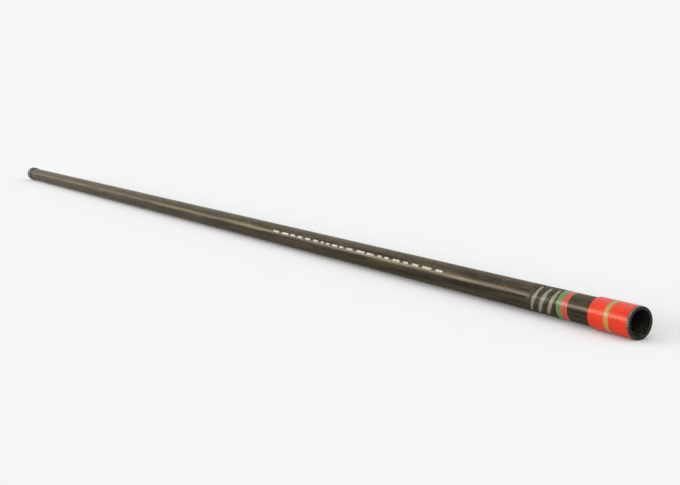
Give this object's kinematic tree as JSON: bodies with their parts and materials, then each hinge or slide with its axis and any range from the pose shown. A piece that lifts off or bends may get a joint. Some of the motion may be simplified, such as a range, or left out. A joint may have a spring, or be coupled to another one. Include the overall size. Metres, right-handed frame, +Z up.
{
  "type": "oilfield pipe joint",
  "caption": "Long threaded steel well pipe with a red coupling made up on one end, colour bands behind it, and an open plastic thread protector on each end.",
  "frame": {"origin": "on the ground, below the middle of the whole joint", "axes": "+X along the pipe towards the coupling, +Z up"},
  "size_m": [10.1042, 0.1536, 0.1537],
  "materials": {
    "pipe_varnish": "olive-brown varnish over mill scale, satin",
    "coupling_red": "orange-red enamel, semi-gloss",
    "protector_plastic": "black polyethylene with a dull skin",
    "band_olive": "olive-yellow paint band, about 28 mm wide, round the coupling just behind its middle",
    "band_red": "red paint band, about 39 mm wide, round the pipe 137 mm behind the coupling",
    "band_green": "light green paint band, about 34 mm wide, against the red band's far side",
    "paint_marks": "pale paint of the brushed strokes and of the broken line of plain dashes, rubbed thin"
  },
  "bodies": {
    "root": {"pipe": "pipe_varnish", "coupling": "coupling_red", "box_protector": "protector_plastic", "pin_protector": "protector_plastic"}
  },
  "joints": []
}
